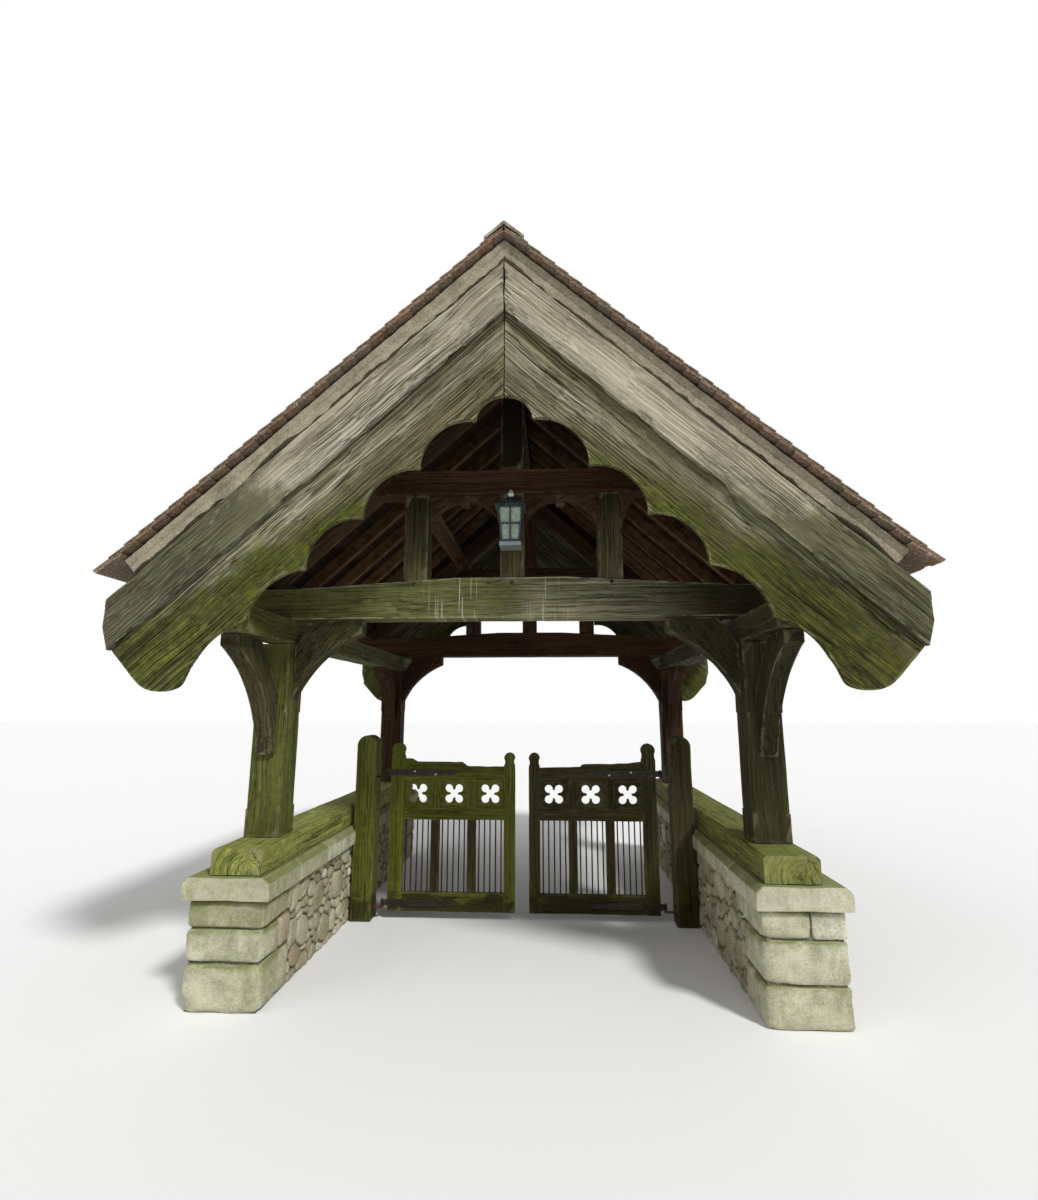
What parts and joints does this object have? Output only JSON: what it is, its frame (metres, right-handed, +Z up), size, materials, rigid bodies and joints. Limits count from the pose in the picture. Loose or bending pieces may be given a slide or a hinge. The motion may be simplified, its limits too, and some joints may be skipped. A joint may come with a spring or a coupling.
{
  "type": "lychgate",
  "caption": "Timber lychgate: a tiled gable roof with scalloped bargeboards on oak trusses and low stone walls, with a pair of swinging gates.",
  "frame": {"origin": "on the ground in the middle of the passage, halfway between the two trusses", "axes": "+X across the passage to the right as seen from the front, +Y along the passage to the rear, +Z up"},
  "size_m": [4.26, 4.35, 4.2267],
  "materials": {
    "weathered_oak": "weathered grey-green",
    "roof_oak": "dark, dry, unpainted",
    "gate_oak": "weathered with green algae",
    "rubble_stone": "rough rubble",
    "coping_stone": "rough with moss",
    "clay_tile": "weathered clay",
    "mortar": "rough",
    "iron": "black with rust",
    "lantern_metal": "dull black",
    "lantern_glass": "dusty"
  },
  "bodies": {
    "building": {"bay_braces": "weathered_oak", "collars": "weathered_oak", "copings": "coping_stone", "eaves_plates": "weathered_oak", "front_arch_braces": "weathered_oak", "front_arched_heads": "weathered_oak", "front_gable_braces": "weathered_oak", "front_left_post": "weathered_oak", "front_principals": "roof_oak", "front_right_post": "weathered_oak", "front_scalloped_boards": "weathered_oak", "front_struts": "weathered_oak", "front_tie_beam": "weathered_oak", "front_upper_boards": "weathered_oak", "gate_hooks": "iron", "lantern_frame": "lantern_metal", "lantern_glass": "lantern_glass", "left_gate_post": "gate_oak", "left_rafters": "roof_oak", "left_tile_courses": "clay_tile", "left_wall": "rubble_stone", "pegs": "weathered_oak", "purlins": "roof_oak", "rear_arch_braces": "weathered_oak", "rear_arched_heads": "weathered_oak", "rear_gable_braces": "weathered_oak", "rear_left_post": "weathered_oak", "rear_principals": "roof_oak", "rear_right_post": "weathered_oak", "rear_scalloped_boards": "weathered_oak", "rear_struts": "weathered_oak", "rear_tie_beam": "weathered_oak", "rear_upper_boards": "weathered_oak", "ridge_beam": "roof_oak", "ridge_tiles": "clay_tile", "right_gate_post": "gate_oak", "right_rafters": "roof_oak", "right_tile_courses": "clay_tile", "right_wall": "rubble_stone", "sills": "weathered_oak", "verge_mortar": "mortar", "wall_plates": "weathered_oak"},
    "left_gate": {"left_gate_bars": "iron", "left_gate_frame": "gate_oak", "left_gate_panels": "gate_oak", "left_gate_straps": "iron"},
    "right_gate": {"right_gate_bars": "iron", "right_gate_frame": "gate_oak", "right_gate_panels": "gate_oak", "right_gate_straps": "iron"}
  },
  "joints": [
    {"name": "left_gate_hinge", "type": "hinge", "parent": "building", "child": "left_gate", "pos_m": [-1.047, -0.316, 0], "axis": [0, 0, 1], "range_deg": [0, 90]},
    {"name": "right_gate_hinge", "type": "hinge", "parent": "building", "child": "right_gate", "pos_m": [1.047, -0.316, 0], "axis": [0, 0, -1], "range_deg": [0, 90]}
  ]
}
